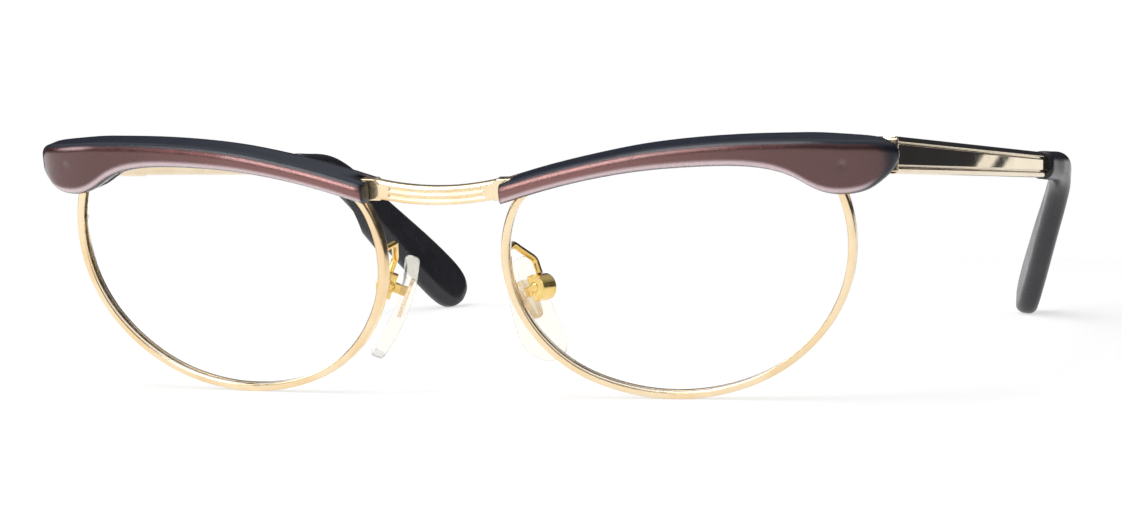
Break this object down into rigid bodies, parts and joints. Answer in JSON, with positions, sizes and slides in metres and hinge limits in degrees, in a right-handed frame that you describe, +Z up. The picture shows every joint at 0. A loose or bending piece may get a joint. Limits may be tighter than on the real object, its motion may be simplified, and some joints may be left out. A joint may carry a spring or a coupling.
{
  "type": "browline glasses",
  "caption": "Browline spectacles: pearl acetate brow bars over gold wire rims with clear lenses, a ribbed bridge, rocking nose pads and hinged temples with curved black tips.",
  "frame": {"origin": "middle of the footprint, on the surface that the rims and the temple tips stand on", "axes": "+X to the wearer's left, +Y back along the open temples, +Z up"},
  "size_m": [0.1346, 0.1401, 0.0384],
  "materials": {
    "gold": "polished pale rolled gold",
    "screw_gold": "polished screw heads",
    "brow_acetate": "glossy laminated acetate, mauve pearl face over near black",
    "black_acetate": "soft gloss black acetate",
    "clear_lens": "thin clear lens",
    "clear_pad": "clear, slightly yellowed pad"
  },
  "bodies": {
    "front": {"bridge": "gold", "rim_screws": "screw_gold", "brow_screws": "screw_gold", "hinge_screws": "screw_gold", "pad_pins": "gold", "rim_left": "gold", "rim_right": "gold", "lens_left": "clear_lens", "lens_right": "clear_lens", "brow_left": "brow_acetate", "brow_right": "brow_acetate", "end_piece_left": "gold", "end_piece_right": "gold", "rim_lock_left": "gold", "rim_lock_right": "gold", "hinge_front_left": "gold", "hinge_front_right": "gold", "pad_arm_left": "gold", "pad_arm_right": "gold", "pad_box_left": "gold", "pad_box_right": "gold"},
    "temple_left": {"temple_arm_left": "gold", "hinge_temple_left": "gold", "temple_tip_left": "black_acetate"},
    "temple_right": {"temple_arm_right": "gold", "hinge_temple_right": "gold", "temple_tip_right": "black_acetate"},
    "pad_left": {"nose_pad_left": "clear_pad", "pad_core_left": "gold"},
    "pad_right": {"nose_pad_right": "clear_pad", "pad_core_right": "gold"}
  },
  "joints": [
    {"name": "temple_left_fold", "type": "hinge", "parent": "front", "child": "temple_left", "pos_m": [0.0623, -0.0542, 0.03469], "axis": [0, 0.0819, 0.9966], "range_deg": [0, 85]},
    {"name": "temple_right_fold", "type": "hinge", "parent": "front", "child": "temple_right", "pos_m": [-0.0623, -0.0542, 0.03469], "axis": [0, -0.0819, -0.9966], "range_deg": [0, 65]},
    {"name": "pad_left_rock", "type": "hinge", "parent": "front", "child": "pad_left", "pos_m": [0.01198, -0.05692, 0.01585], "axis": [-0.3746, -0.9272, 0], "range_deg": [-8, 8]},
    {"name": "pad_right_rock", "type": "hinge", "parent": "front", "child": "pad_right", "pos_m": [-0.01198, -0.05692, 0.01585], "axis": [-0.3746, 0.9272, 0], "range_deg": [-8, 8]}
  ]
}
